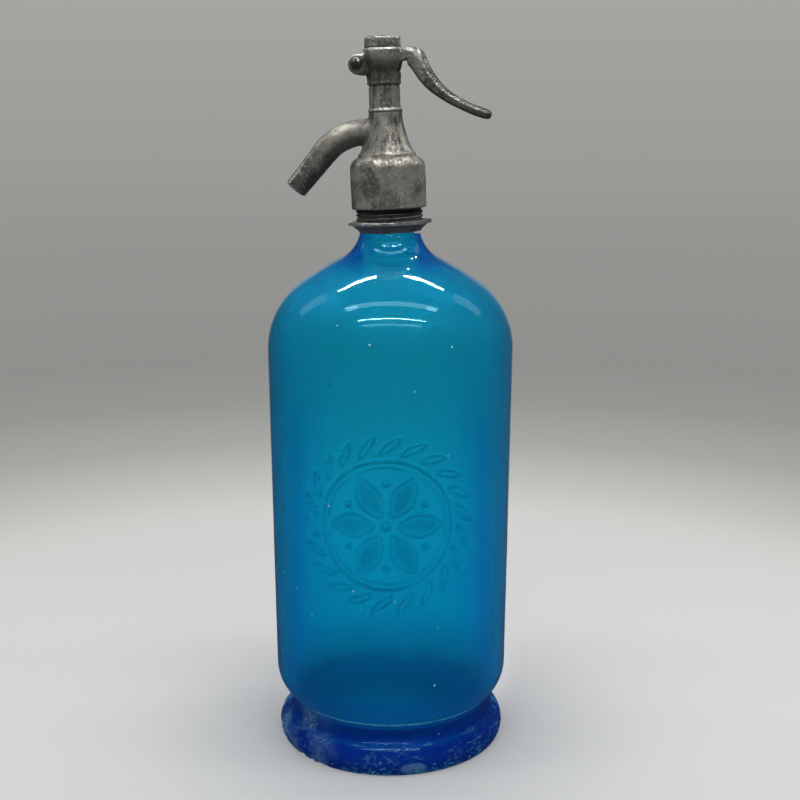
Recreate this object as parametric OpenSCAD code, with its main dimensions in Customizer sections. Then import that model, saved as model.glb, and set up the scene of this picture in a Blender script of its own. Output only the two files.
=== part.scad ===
// Soda siphon: a thick glass bottle with a cast metal lever head.
// Millimetres, +Z up. The origin is the centre of the base, on the table. The lever points
// to +X, the spout to -X. Everything above the glass neck is drawn upright and then leans
// as one, the way the fittings sit on this bottle.

/* [Bottle] */
// Radius of the body at the shoulder
body_r = 52; // [50:0.5:54]
// Height of the shoulder, where the body stops being straight
shoulder_z = 173; // [160:0.5:176]
// Radius of the shoulder
shoulder_round = 34.5; // [32:0.5:36]
// Slope of the cone between shoulder and neck, in degrees
cone_slope = 30; // [28:0.5:33]
// Radius at the lower end of the body, which tapers a little
lower_r = 50.5; // [49.5:0.1:51]
// Height where the body starts to round in towards the waist
lower_z = 33.4; // [32:0.1:36]
// Radius of the rounding at the lower end of the body
lower_round = 17.3; // [16:0.1:18]
// Radius of the hollow between body and foot
waist_round = 5.5; // [4:0.5:7]
// Widest radius of the foot
foot_r = 49.6; // [48.5:0.1:50.5]
// Height of the widest part of the foot
foot_z = 4.8; // [4.5:0.1:5.5]
// Radius of the rolled edge of the foot
foot_round = 8.5; // [8:0.1:9]
// Thickness of the glass
wall = 5.4; // [5.2:0.1:5.6]
// Thickness of the glass above the ground, at the floor of the bottle
floor_z = 21; // [18:0.5:24]
// Depth of the hollow under the foot
punt_h = 7; // [4:0.5:9]

/* [Neck] */
// Radius of the neck just under the collar
neck_r = 12.4; // [12.2:0.1:12.6]
// Radius of the hollow between cone and neck
neck_round = 15; // [14.5:0.1:15.5]
// Radius of the neck inside the collar
throat_r = 10; // [9.9:0.05:10]
// Radius of the bead that the clamp ring holds
bead_r = 11.2; // [11:0.1:11.4]
// Height of the glass ledge that the collar stands on
ledge_z = 221.4; // [221.2:0.1:221.4]
// Height of the top of the glass
lip_z = 240; // [239.8:0.1:240]

/* [Collar] */
// Distance across the corners of the flange
flange_w = 35; // [33:0.1:36]
// Thickness of the flange
flange_h = 1.5; // [1.2:0.1:1.8]
// Radius of the collar under its screw thread
collar_r = 13.35; // [13.1:0.05:13.5]
// Turn of the flange about the neck, in degrees
flange_turn = 12; // [0:1:45]

/* [Head] */
// Lean of all the metal fittings towards the spout, in degrees
head_lean = 2.3; // [0:0.1:2.4]
// Radius of the skirt that screws over the collar
skirt_r = 15.6; // [15.4:0.1:16]
// Radius of the column
column_r = 6.42; // [6.3:0.02:6.6]
// Largest radius of the lever housing
housing_r = 8.45; // [8.3:0.05:8.6]
// Width of the slot that the lever works in
slot_w = 6.6; // [6.4:0.1:6.8]
// Width of the head across the two hinge lugs
lug_w = 11.2; // [11:0.2:13]

/* [Spout] */
// Radius of the spout where it leaves the head
spout_r = 5.35; // [5.3:0.05:5.8]
// Radius of the spout at its end
spout_tip_r = 4.75; // [4.6:0.1:5]
// Radius of the spout's bend
spout_bend = 23; // [21:0.5:23]
// Angle of the bend, from level to the straight end
spout_drop = 48; // [46:1:54]
// Length of the straight end
spout_run = 19.6; // [18:0.1:21]
// Radius of the passage through the spout
passage_r = 2.4; // [2:0.1:2.6]
// Radius of the opening at its end
mouth_r = 3.3; // [3:0.1:3.6]
// Depth of the opening at its end
mouth_l = 10; // [8:0.5:12]

/* [Lever] */
// Distance from the hinge to the middle of the valve stem
hinge_reach = 10.2; // [10:0.1:10.4]
// Height of the hinge
hinge_z = 290.4; // [290.3:0.1:290.6]
// Width of the lever inside the housing
lever_w = 6.3; // [6:0.1:6.3]
// Width of the handle where the thumb presses
thumb_w = 9.6; // [8:0.1:12]

/* [Valve] */
// Radius of the valve stem
stem_r = 1.4; // [1.3:0.05:1.5]
// Height of the face that the valve closes against
seat_z = 256; // [255.6:0.1:256.2]
// Radius of the bore that the valve works in
bore_r = 4.6; // [4.5:0.05:4.7]
// Radius of the spring wire
wire_r = 0.3; // [0.25:0.05:0.35]
// Number of turns of the spring
spring_turns = 5; // [4:1:6]

/* [Tube] */
// Outside radius of the dip tube
tube_r = 3; // [2.8:0.1:3.1]
// Radius of the hole in the dip tube
tube_hole_r = 1.8; // [1.5:0.1:2]
// Clearance between the dip tube's end and the floor of the bottle
tube_gap = 4; // [3:0.5:8]

/* [Hidden] */

$fn = 96;
glass_blue = [0.03, 0.45, 0.68, 0.55];
tube_glass = [0.75, 0.9, 0.92, 0.6];
grey_alloy = [0.52, 0.52, 0.5];
brass = [0.72, 0.58, 0.3];
steel = [0.62, 0.62, 0.64];
black_rubber = [0.12, 0.12, 0.12];
oiled_leather = [0.36, 0.24, 0.14];

cut = 1;                        // how far a cutting solid runs past a face
fit_gap = 0.05;                 // radial gap of a close fit
rest_gap = 0.1;                 // gap where a moving piece stops near another
join = 0.3;                     // how far two joined solids run into each other
step = 0.04;                    // small step where two round solids join end to end

// Bottle
shoulder_c = [body_r - shoulder_round, shoulder_z];
cone_turn = 90 - cone_slope;    // angle of the shoulder arc
cone_foot = shoulder_c + shoulder_round * [cos(cone_turn), sin(cone_turn)];
neck_out = neck_r + neck_round * (1 - cos(cone_turn));
cone_run = (cone_foot[0] - neck_out) / sin(cone_turn);
cone_top = cone_foot + cone_run * [-sin(cone_turn), cos(cone_turn)];
neck_c = cone_top + neck_round * [cos(cone_turn), sin(cone_turn)];
lower_c = [lower_r - lower_round, lower_z];
foot_c = [foot_r - foot_round, foot_z];
base_out = foot_c[0] + sqrt(foot_round * foot_round - foot_z * foot_z);
base_in = base_out - 7;
bead_z = 232.5;                 // underside of the bead
floor_round = 15;               // inside corner between floor and wall
bore_glass_r = neck_r + neck_round - (neck_round + wall);

// Fittings, all heights before they lean
lean_z = 222;                   // the fittings lean about this point of the neck
collar_z = 222;
flange_z = 225.1;
flange_flat = flange_w / 2 * cos(180 / 8); // from the axis to a flat of the flange
collar_top = 239.5;
clamp_z = 227;                  // shoulder inside the collar, under the clamp ring
clamp_h = 4.45;
clamp_in = 10.45;
clamp_out = 12.4;
skirt_z = 231.7;
skirt_in = 14.05;
ceiling_z = 242.8;              // roof of the skirt, on the gasket
gasket_h = 2.35;
gasket_in = 6.4;
nipple_r = 5.9;
nipple_z = 233;
chamber_z = 258.6;              // step above the seat ring
chamber_r = 3.3;
guide_z = 268;                  // thin wall that guides the stem
box_z = 270.5;                  // floor of the packing box
box_r = 4;
slot_z = 286.4;
slot_top = 294.6;
roof_z = 296.4;
plug_r = 7.4;
plug_top = 300.8;
plug_hole = 4.55;
hinge_x = -hinge_reach;
hinge_hole = 1.75;
screw_r = 1.7;
lug_r = 4.05;
lug_c = [hinge_x + 0.5, hinge_z - 0.5]; // middle of the lugs' round ends
spout_z = 263;
spout_x = -9;                   // where the spout's bend starts
spout_c = [spout_x, spout_z - spout_bend];
bend_end = spout_c + spout_bend * [-sin(spout_drop), cos(spout_drop)];
nose_r = 2.6;                   // rounded nose of the lever, over the stem
button_r = 3;
button_h = 3.2;
button_top = hinge_z - nose_r - fit_gap;
stem_top = button_top - 1.2;
washer_h = 2.4;
cup_h = 3;
cup_z = seat_z - washer_h - cup_h;
nut_h = 2;
spring_z = 241.5;               // top of the tube holder, under the spring
spring_r = 3.5;
holder_z = 224;
socket_r = 3.6;
socket_top = 238;
tube_top = 237;
tube_bottom = floor_z + tube_gap;

// Points of an arc about c, from angle a0 to a1 in n steps.
function arc(c, r, a0, a1, n) =
    [for (i = [0:n]) let (a = a0 + (a1 - a0) * i / n) c + r * [cos(a), sin(a)]];

// Direction of a vector in degrees.
function heading(v) = atan2(v[1], v[0]);

// Centre of the hollow of radius r that touches two rounds from outside.
function hollow_between(c1, r1, c2, r2, r) =
    let (d = norm(c2 - c1), u = (c2 - c1) / d, a = ((r1 + r) ^ 2 - (r2 + r) ^ 2 + d * d) / (2 * d))
    c1 + a * u + sqrt((r1 + r) ^ 2 - a * a) * [-u[1], u[0]];

// Everything above the neck leans together.
module leaning() {
    translate([0, 0, lean_z]) rotate([0, -head_lean, 0]) translate([0, 0, -lean_z]) children();
}

// A ring or, with no hole, a disc on the axis.
module ring(z0, z1, outer, inner = 0) {
    translate([0, 0, z0])
        difference() {
            cylinder(h = z1 - z0, r = outer);
            if (inner > 0) translate([0, 0, -cut]) cylinder(h = z1 - z0 + 2 * cut, r = inner);
        }
}

// A solid skinned over rings of points that all have the same number of points.
module loft(rings) {
    m = len(rings[0]);
    last = len(rings) - 1;
    points = [for (ring = rings) each ring];
    sides = [
        for (i = [0:last - 1], j = [0:m - 1])
            let (a = i * m + j, b = i * m + (j + 1) % m)
            each [[a, b, a + m], [b, b + m, a + m]]
    ];
    start_cap = [for (j = [1:m - 2]) [0, j + 1, j]];
    end_cap = [for (j = [1:m - 2]) [last * m, last * m + j, last * m + j + 1]];
    polyhedron(points = points, faces = concat(sides, start_cap, end_cap));
}

// Point of a smooth curve through the points p, at place t from 0 to 1.
function smooth(p, t) =
    let (
        n = len(p) - 1, s = min(t * n, n - 0.000001), i = floor(s), f = s - i,
        p0 = p[max(i - 1, 0)], p1 = p[i], p2 = p[i + 1], p3 = p[min(i + 2, n)]
    )
    0.5 * (2 * p1 + (p2 - p0) * f + (2 * p0 - 5 * p1 + 4 * p2 - p3) * f ^ 2
        + (3 * p1 - p0 - 3 * p2 + p3) * f ^ 3);

// ---- Glass

waist_c = hollow_between(lower_c, lower_round, foot_c, foot_round, waist_round);
punt_r = (base_in * base_in + punt_h * punt_h) / (2 * punt_h);
punt_c = [0, punt_h - punt_r];

outside = concat(
    arc(punt_c, punt_r, 90, heading([base_in, 0] - punt_c), 6),
    arc(foot_c, foot_round, -asin(foot_z / foot_round), heading(waist_c - foot_c), 12),
    arc(waist_c, waist_round, heading(foot_c - waist_c) + 360, heading(lower_c - waist_c), 8),
    arc(lower_c, lower_round, heading(waist_c - lower_c), 0, 8),
    arc(shoulder_c, shoulder_round, 0, cone_turn, 12),
    arc(neck_c, neck_round, cone_turn + 180, 180 + asin((neck_c[1] - ledge_z) / neck_round), 8),
    [
        [throat_r, ledge_z], [throat_r, bead_z], [bead_r, bead_z],
        [bead_r, lip_z - 1.5], [bead_r - 1, lip_z]
    ]
);

inside = concat(
    [[bore_glass_r, lip_z]],
    arc(neck_c, neck_round + wall, 180, cone_turn + 180, 8),
    arc(shoulder_c, shoulder_round - wall, cone_turn, 0, 12),
    arc([lower_r - wall - floor_round, floor_z + floor_round], floor_round, 0, -90, 8),
    [[0, floor_z]]
);

module glass_bottle() {
    color(glass_blue) rotate_extrude() polygon(concat(outside, inside));
}

module dip_tube() {
    color(tube_glass) leaning() ring(tube_bottom, tube_top, tube_r, tube_hole_r);
}

// ---- Neck fittings

// One half of the split ring that holds the bead of the glass. side is 1 or -1.
module clamp_half(side) {
    color(grey_alloy) leaning()
        intersection() {
            ring(clamp_z, clamp_z + clamp_h, clamp_out, clamp_in);
            translate([side * (clamp_out + 0.2), 0, clamp_z + clamp_h / 2])
                cube([2 * clamp_out, 3 * clamp_out, 2 * clamp_h], center = true);
        }
}

module neck_collar() {
    color(grey_alloy) leaning()
        difference() {
            union() {
                rotate_extrude()
                    polygon([
                        [0, collar_z], [12.95, collar_z], [13.4, collar_z + 0.9],
                        [flange_flat, flange_z + join], [0, flange_z + join]
                    ]);
                translate([0, 0, flange_z]) rotate([0, 0, flange_turn])
                    cylinder(h = flange_h, r = flange_w / 2, $fn = 8);
                translate([0, 0, flange_z]) cylinder(h = collar_top - flange_z, r = collar_r);
            }
            translate([0, 0, collar_z - cut]) cylinder(h = clamp_z, r = bead_r + 0.5);
            translate([0, 0, clamp_z]) cylinder(h = collar_top, r = clamp_out + fit_gap);
        }
}

module lip_gasket() {
    color(oiled_leather) leaning() ring(ceiling_z - gasket_h, ceiling_z, 12.2, gasket_in);
}

// ---- Head

// Outline of the cast head, from the skirt to the shoulder under the plug.
head_outline = concat(
    [[0, skirt_z], [skirt_r - 0.4, skirt_z], [skirt_r, skirt_z + 0.4]],
    arc([skirt_r - 5, 248], 5, 0, 62, 7),
    [[12, 253.3], [11.55, 253.6]],
    arc([46.4, 272.6], 39.6, 180 + 27.6, 180 + 4, 7),
    [[7.05, 270], [7.05, 271.6], [column_r, 272.2], [column_r, 281.6], [6.85, 281.9]],
    [[6.85, 283], [7.15, 286.6]],
    arc([housing_r - 14, 292.8], 14, -18, 4, 4),
    arc([housing_r - 1.7, 294.7], 1.7, 20, 85, 4),
    [[plug_r - 0.4, roof_z], [0, roof_z]]
);

// The spout's bend and straight end, as a solid or as its passage.
module spout_path(root_r, tip_r, run) {
    translate([spout_x - join, 0, spout_z]) rotate([0, 90, 0])
        cylinder(h = join - spout_x, r = root_r + step);
    translate([spout_c[0], 0, spout_c[1]]) rotate([90, 0, 0]) rotate([0, 0, 90])
        rotate_extrude(angle = spout_drop) translate([spout_bend, 0]) circle(r = root_r);
    spout_end(-join) cylinder(h = run + join, r1 = root_r - step, r2 = tip_r - step);
}

// Places its child along the spout's straight end, at a distance from the bend.
module spout_end(distance) {
    translate([bend_end[0], 0, bend_end[1]]) rotate([0, -90 - spout_drop, 0])
        translate([0, 0, distance]) children();
}

module hinge_lugs() {
    translate([0, lug_w / 2, 0]) rotate([90, 0, 0]) linear_extrude(lug_w) {
        translate(lug_c) circle(r = lug_r);
        polygon([
            lug_c - [0, lug_r], [-3, lug_c[1] - lug_r], [-3, slot_top],
            [lug_c[0] + 2.5, lug_c[1] + lug_r], lug_c + [0, lug_r]
        ]);
    }
}

module head_body() {
    color(grey_alloy) leaning()
        difference() {
            union() {
                rotate_extrude() polygon(head_outline);
                spout_path(spout_r, spout_tip_r, spout_run);
                hinge_lugs();
            }
            // skirt, with a nipple left standing in it
            difference() {
                translate([0, 0, skirt_z - cut])
                    cylinder(h = ceiling_z - skirt_z + cut, r = skirt_in);
                cylinder(h = ceiling_z + cut, r = nipple_r);
            }
            cylinder(h = nipple_z, r = nipple_r + cut);
            // valve bore, chamber, stem guide and packing box
            cylinder(h = chamber_z, r = bore_r);
            cylinder(h = guide_z, r = chamber_r);
            cylinder(h = box_z + cut, r = stem_r + fit_gap);
            translate([0, 0, box_z]) cylinder(h = slot_z - box_z + cut, r = box_r);
            // passage and mouth of the spout
            spout_path(passage_r, passage_r, spout_run + cut);
            spout_end(spout_run - mouth_l) cylinder(h = mouth_l + cut, r = mouth_r);
            // slot of the lever, and the hole of the plug
            translate([-skirt_r - cut, -slot_w / 2, slot_z])
                cube([2 * (skirt_r + cut), slot_w, slot_top - slot_z]);
            translate([-skirt_r - cut, -slot_w / 2, slot_z])
                cube([skirt_r + cut - housing_r, slot_w, roof_z - slot_z]);
            translate([0, 0, slot_top - cut]) cylinder(h = roof_z, r = plug_hole);
            // hinge hole
            translate([hinge_x, lug_w, hinge_z]) rotate([90, 0, 0])
                cylinder(h = 2 * lug_w, r = hinge_hole);
        }
}

module top_plug() {
    color(grey_alloy) leaning()
        difference() {
            union() {
                rotate_extrude()
                    polygon([
                        [0, roof_z], [plug_r, roof_z], [plug_r, plug_top - 0.8],
                        [plug_r - 0.8, plug_top], [0, plug_top]
                    ]);
                ring(slot_top + rest_gap, roof_z + rest_gap, plug_hole - fit_gap);
            }
            translate([-plug_r - cut, -0.8, plug_top - 1.5]) cube([2 * (plug_r + cut), 1.6, 3]);
        }
}

// ---- Lever

// Middle of the handle from the housing to the tip: x, z, thickness and width.
handle = [
    [8.9, 293.5, 4.6, lever_w], [11.3, 293.2, 6.6, lever_w + 0.3], [13.2, 291.9, 8, lever_w + 0.9],
    [15, 288.9, 7.1, lever_w + 1.6], [17.3, 284.9, 6.6, thumb_w - 0.8], [20.6, 280.7, 5.6, thumb_w],
    [25, 276.7, 4.7, thumb_w], [30.8, 273, 4.1, thumb_w], [36.4, 270.2, 4, thumb_w - 0.4],
    [40.6, 268.6, 3.6, thumb_w - 1.4], [42.4, 268, 2.6, thumb_w - 3.4], [43, 267.8, 1, thumb_w - 6.5]
];
handle_rings = 34;

// Cross-section of the handle: round on top and flat beneath, 1 wide and 1 thick.
crown = [
    for (p = concat(arc([0, 0.08], 1, 0, 180, 10), [[-1, -0.3], [-0.8, -0.5], [0.8, -0.5], [1, -0.3]]))
        [p[0] / 2, p[1] > 0.08 ? 0.08 + (p[1] - 0.08) * 0.42 : p[1]]
];

function handle_ring(t) =
    let (
        s = smooth(handle, t),
        ahead = smooth(handle, min(t + 0.01, 1)),
        back = smooth(handle, max(t - 0.01, 0)),
        along = [ahead[0] - back[0], ahead[1] - back[1]], up = [-along[1], along[0]] / norm(along)
    )
    [for (p = crown) [s[0] + up[0] * p[1] * s[2], -p[0] * s[3], s[1] + up[1] * p[1] * s[2]]];

// The arm inside the housing, seen from the side, with the nose that presses the stem.
module arm_outline() {
    difference() {
        union() {
            translate([hinge_x, hinge_z]) circle(r = 3);
            translate([0, hinge_z]) circle(r = nose_r);
            polygon([
                [hinge_x, hinge_z - 1.6], [0, hinge_z - 1.6], [8.8, hinge_z + 0.6], [10, hinge_z + 1.6],
                [10, 295.2], [9, 295.2], [8.8, slot_top - rest_gap], [-6, slot_top - rest_gap],
                [hinge_x, hinge_z + 3]
            ]);
        }
        translate([hinge_x, hinge_z]) circle(r = hinge_hole + 0.03);
    }
}

module lever() {
    color(grey_alloy) leaning()
        union() {
            translate([0, lever_w / 2, 0]) rotate([90, 0, 0]) linear_extrude(lever_w) arm_outline();
            loft([for (i = [0:handle_rings]) handle_ring(i / handle_rings)]);
        }
}

module pivot_screw() {
    color(steel) leaning()
        translate([hinge_x, lug_w / 2, hinge_z]) rotate([90, 0, 0])
            difference() {
                union() {
                    cylinder(h = lug_w + 0.5, r = screw_r);
                    translate([0, 0, lug_w]) rotate_extrude()
                        polygon(concat([[0, 0], [2.35, 0]], arc([0.35, 0], 2, 10, 90, 5), [[0, 2]]));
                }
                translate([-0.35, -3, lug_w + 1.1]) cube([0.7, 6, 2]);
            }
}

// ---- Valve

module stem_button() {
    color(brass) leaning()
        difference() {
            ring(button_top - button_h, button_top, button_r);
            ring(button_top - button_h - cut, stem_top + fit_gap, stem_r + fit_gap);
        }
}

module valve_stem() {
    color(brass) leaning() ring(cup_z - nut_h - 0.6, stem_top, stem_r);
}

module gland_nut() {
    color(brass) leaning()
        difference() {
            ring(276.5, 281, box_r - fit_gap, stem_r + 0.2);
            translate([-box_r, -0.6, 279.8]) cube([2 * box_r, 1.2, 2]);
        }
}

module gland_washer() {
    color(brass) leaning() ring(275.5, 276.5, box_r - fit_gap, stem_r + 0.1);
}

module stem_packing() {
    color(oiled_leather) leaning() ring(box_z, 275.5, box_r - fit_gap, stem_r + fit_gap);
}

module seat_ring() {
    color(brass) leaning() ring(seat_z, chamber_z, bore_r - fit_gap, 2.6);
}

module valve_washer() {
    color(black_rubber) leaning()
        ring(seat_z - washer_h, seat_z - fit_gap, bore_r - 0.7, stem_r + fit_gap);
}

// The cup is guided by its corners, and soda water passes its four flats.
module valve_cup() {
    color(brass) leaning()
        intersection() {
            ring(cup_z, cup_z + cup_h, bore_r - 0.1, stem_r + fit_gap);
            translate([0, 0, cup_z + cup_h / 2])
                cube([7.4, 7.4, 2 * cup_h], center = true);
        }
}

module valve_nut() {
    color(brass) leaning()
        translate([0, 0, cup_z - nut_h])
            difference() {
                cylinder(h = nut_h, r = 2.8, $fn = 6);
                translate([0, 0, -cut]) cylinder(h = nut_h + 2 * cut, r = stem_r + fit_gap);
            }
}

coil_steps = 12;                // rings of the spring in one turn
spring_h = cup_z - spring_z;

function coil_ring(i) =
    let (a = 360 * i / coil_steps, rise = spring_h - 2 * wire_r, z = spring_z + wire_r
        + rise * i / (coil_steps * spring_turns))
    [
        for (j = [0:5]) let (b = 60 * j, r = spring_r + wire_r * cos(b))
            [r * cos(a), r * sin(a), z + wire_r * sin(b)]
    ];

module valve_spring() {
    color(steel) leaning() loft([for (i = [0:coil_steps * spring_turns]) coil_ring(i)]);
}

// ---- Tube holder

module tube_holder() {
    color(brass) leaning()
        difference() {
            union() {
                ring(holder_z, 230, 5.1);
                translate([0, 0, 230]) cylinder(h = nipple_z - 230, r = nipple_r - 0.1, $fn = 6);
                ring(nipple_z, spring_z, bore_r - fit_gap);
            }
            translate([0, 0, holder_z - cut]) cylinder(h = socket_top - holder_z + cut, r = socket_r);
            translate([0, 0, holder_z]) cylinder(h = spring_z, r = 2.2);
        }
}

module tube_sleeve() {
    color(black_rubber) leaning()
        ring(holder_z - 1.5, tube_top - 1, socket_r - fit_gap, tube_r + fit_gap);
}

// ---- Assembly

glass_bottle();
clamp_half(-1);  // clamp_ring_left
clamp_half(1);  // clamp_ring_right
neck_collar();
lip_gasket();
head_body();
top_plug();
lever();
pivot_screw();
stem_button();
valve_stem();
gland_nut();
gland_washer();
stem_packing();
seat_ring();
valve_washer();
valve_cup();
valve_nut();
valve_spring();
tube_holder();
tube_sleeve();
dip_tube();
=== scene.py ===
"""Looks of the soda siphon: blue pressed glass, an old cast head, and plain studio light.

Sizes in this file are in millimetres and are turned into metres where a mesh is made. The
head's own parts are drawn upright and lean as one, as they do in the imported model.
"""

import math

import bmesh
import bpy
import numpy as np
from mathutils import Matrix, Vector


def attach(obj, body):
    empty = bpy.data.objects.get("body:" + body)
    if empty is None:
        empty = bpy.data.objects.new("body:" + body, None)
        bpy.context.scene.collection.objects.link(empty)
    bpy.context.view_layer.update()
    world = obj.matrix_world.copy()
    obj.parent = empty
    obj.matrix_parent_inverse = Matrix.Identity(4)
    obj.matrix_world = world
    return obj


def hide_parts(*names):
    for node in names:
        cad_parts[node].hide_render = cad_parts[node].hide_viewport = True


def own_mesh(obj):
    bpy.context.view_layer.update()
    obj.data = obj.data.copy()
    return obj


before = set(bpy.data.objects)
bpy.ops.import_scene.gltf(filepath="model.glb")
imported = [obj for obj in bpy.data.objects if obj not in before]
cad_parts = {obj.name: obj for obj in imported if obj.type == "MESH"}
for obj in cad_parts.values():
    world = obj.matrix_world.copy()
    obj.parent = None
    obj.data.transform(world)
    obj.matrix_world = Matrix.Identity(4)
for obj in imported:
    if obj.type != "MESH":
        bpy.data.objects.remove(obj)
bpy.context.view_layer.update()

MM = 0.001
LEAN = math.radians(2.3)  # of every metal fitting, towards the spout
LEAN_Z = 222  # height of the point that they lean about
VIEW = math.radians(8)  # the camera stands this far round towards the lever


# ---- Node trees written as sums


def sum_of(operation, reflected=False):
    """A method that adds one Math node. A reflected one has the other number first."""

    def method(self, *others):
        numbers = (*others, self) if reflected else (self, *others)
        return self.nodes.add("ShaderNodeMath", dict(enumerate(numbers)), operation=operation)

    return method


class Value:
    """The output of a node. Plain arithmetic on it adds Math nodes to its tree."""

    def __init__(self, nodes, socket):
        self.nodes, self.socket = nodes, socket

    __add__ = __radd__ = sum_of("ADD")
    __mul__ = __rmul__ = sum_of("MULTIPLY")
    __sub__, __rsub__ = sum_of("SUBTRACT"), sum_of("SUBTRACT", reflected=True)
    __truediv__, __rtruediv__ = sum_of("DIVIDE"), sum_of("DIVIDE", reflected=True)
    __pow__, __abs__ = sum_of("POWER"), sum_of("ABSOLUTE")
    __gt__, __lt__ = sum_of("GREATER_THAN"), sum_of("LESS_THAN")
    most, least = sum_of("MAXIMUM"), sum_of("MINIMUM")
    sin, cos = sum_of("SINE"), sum_of("COSINE")
    arcsine, arctan2 = sum_of("ARCSINE"), sum_of("ARCTAN2")
    floor, wrap = sum_of("FLOOR"), sum_of("WRAP")

    def fade(self, start, end):
        """0 up to start and 1 from end on, with a smooth step between. It falls if start > end."""
        low, high = min(start, end), max(start, end)
        to = {"To Min": float(start > end), "To Max": float(start < end)}
        values = {"Value": self, "From Min": low, "From Max": high, **to}
        return self.nodes.add("ShaderNodeMapRange", values, interpolation_type="SMOOTHSTEP")

    def out(self, name):
        """Another output of the same node."""
        outputs = self.socket.node.outputs
        return Value(self.nodes, next(o for o in outputs if o.name == name and o.enabled))

    def xyz(self):
        split = self.nodes.add("ShaderNodeSeparateXYZ", {0: self})
        return split, split.out("Y"), split.out("Z")


class Nodes:
    """One node tree. Every node is made by add."""

    def __init__(self, tree):
        self.tree = tree

    def add(self, kind, values=None, **settings):
        """Adds a node with its settings, and with the values or links of its sockets."""
        node = self.tree.nodes.new(kind)
        for name, setting in settings.items():
            setattr(node, name, setting)
        for name, value in (values or {}).items():
            by_name = (s for s in node.inputs if s.name == name and s.enabled)
            socket = node.inputs[name] if isinstance(name, int) else next(by_name)
            if isinstance(value, Value):
                self.tree.links.new(value.socket, socket)
            elif socket.type == "RGBA":
                socket.default_value = (*value, 1)
            else:
                socket.default_value = value
        first = next((o for o in node.outputs if o.enabled), None)
        return Value(self, first)

    def point(self, x, y, z):
        return self.add("ShaderNodeCombineXYZ", {0: x, 1: y, 2: z})

    def vector(self, operation, a, b):
        """Sum or product of two vectors."""
        return self.add("ShaderNodeVectorMath", {0: a, 1: b}, operation=operation)

    def stretched(self, vector, factor):
        values = {0: vector, "Scale": factor}
        return self.add("ShaderNodeVectorMath", values, operation="SCALE")

    def noise(self, place, scale, detail=3.0, roughness=0.5):
        """Smooth noise about 0.5, with patches of about 1 / scale. Each axis may have its own."""
        if isinstance(scale, tuple):
            place, scale = self.vector("MULTIPLY", place, scale), 1.0
        values = {"Vector": place, "Scale": scale, "Detail": detail, "Roughness": roughness}
        return self.add("ShaderNodeTexNoise", values)

    def cells(self, place, scale):
        """Distance to the nearest of the points that are scattered evenly."""
        return self.add("ShaderNodeTexVoronoi", {"Vector": place, "Scale": scale})

    def ramp(self, place, stops):
        """Colours that blend from stop to stop. A stop is a place and its colour."""
        start, size = stops[0][0], stops[-1][0] - stops[0][0]
        made = self.add("ShaderNodeValToRGB", {0: (place - start) / size})
        elements = made.socket.node.color_ramp.elements
        for at, _ in stops[2:]:
            elements.new((at - start) / size)
        for element, (at, colour) in zip(elements, stops):
            element.position, element.color = (at - start) / size, (*colour, 1)
        return made

    def mix(self, share, a, b, **settings):
        """Colour a where share is 0 and b where it is 1."""
        values = {"Factor": share, "A": a, "B": b}
        return self.add("ShaderNodeMix", values, data_type="RGBA", **settings)


# ---- Geometry trees


class Maker(Nodes):
    """A geometry tree with named inputs. grow() runs it on a mesh and keeps the result."""

    KINDS = {float: "NodeSocketFloat", int: "NodeSocketInt"}

    def __init__(self, name, **inputs):
        super().__init__(bpy.data.node_groups.new(name, "GeometryNodeTree"))
        face = self.tree.interface
        for side in ("INPUT", "OUTPUT"):
            face.new_socket("Geometry", in_out=side, socket_type="NodeSocketGeometry")
        self.identifiers = {}
        for label, start in inputs.items():
            socket = face.new_socket(label, in_out="INPUT", socket_type=self.KINDS[type(start)])
            socket.default_value = start
            self.identifiers[label] = socket.identifier
        self.given = self.add("NodeGroupInput")
        self.geometry = self.given.out("Geometry")

    def value(self, label):
        return self.given.out(label)

    def read(self, name):
        """A number that is stored on each point of the mesh."""
        return self.add("GeometryNodeInputNamedAttribute", {"Name": name})

    def store(self, geometry, name, value):
        values = {"Geometry": geometry, "Name": name, "Value": value}
        return self.add("GeometryNodeStoreNamedAttribute", values)

    def place(self):
        """Place of each point in millimetres."""
        return self.stretched(self.add("GeometryNodeInputPosition"), 1 / MM)

    def move(self, geometry, **values):
        """Gives each point a new Position, or an Offset from its old one."""
        return self.add("GeometryNodeSetPosition", {"Geometry": geometry, **values})

    def push(self, geometry, height):
        """Moves each point along its normal by a height in millimetres."""
        normal = self.add("GeometryNodeInputNormal")
        return self.move(geometry, Offset=self.stretched(normal, height * MM))

    def end(self, geometry):
        made = self.add("GeometryNodeRealizeInstances", {"Geometry": geometry})
        self.painted = self.add("GeometryNodeSetMaterial", {"Geometry": made})
        self.add("NodeGroupOutput", {0: self.painted})
        return self

    def grow(self, name, mesh, material, **inputs):
        """A new object: the tree run on the mesh with these inputs."""
        self.painted.socket.node.inputs["Material"].default_value = material
        start = new_object(name + "_start", mesh)
        modifier = start.modifiers.new(self.tree.name, "NODES")
        modifier.node_group = self.tree
        for label, value in inputs.items():
            modifier[self.identifiers[label]] = value
        made = new_object(name, evaluated(start))
        discard(start)
        return made


def set_material(mesh, material):
    mesh.materials.clear()
    mesh.materials.append(material)


def new_object(name, data, material=None):
    made = bpy.data.objects.new(name, data)
    bpy.context.scene.collection.objects.link(made)
    if material:
        set_material(data, material)
    return made


def discard(*things):
    for thing in things:
        bpy.data.objects.remove(thing)


def evaluated(thing):
    """The mesh of an object with its modifiers applied."""
    graph = bpy.context.evaluated_depsgraph_get()
    return bpy.data.meshes.new_from_object(thing.evaluated_get(graph), depsgraph=graph)


def mesh_of(name, points, faces=(), edges=()):
    """A mesh from points in millimetres."""
    mesh = bpy.data.meshes.new(name)
    mesh.from_pydata((np.asarray(points, float) * MM).tolist(), edges, faces)
    return mesh


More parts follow.
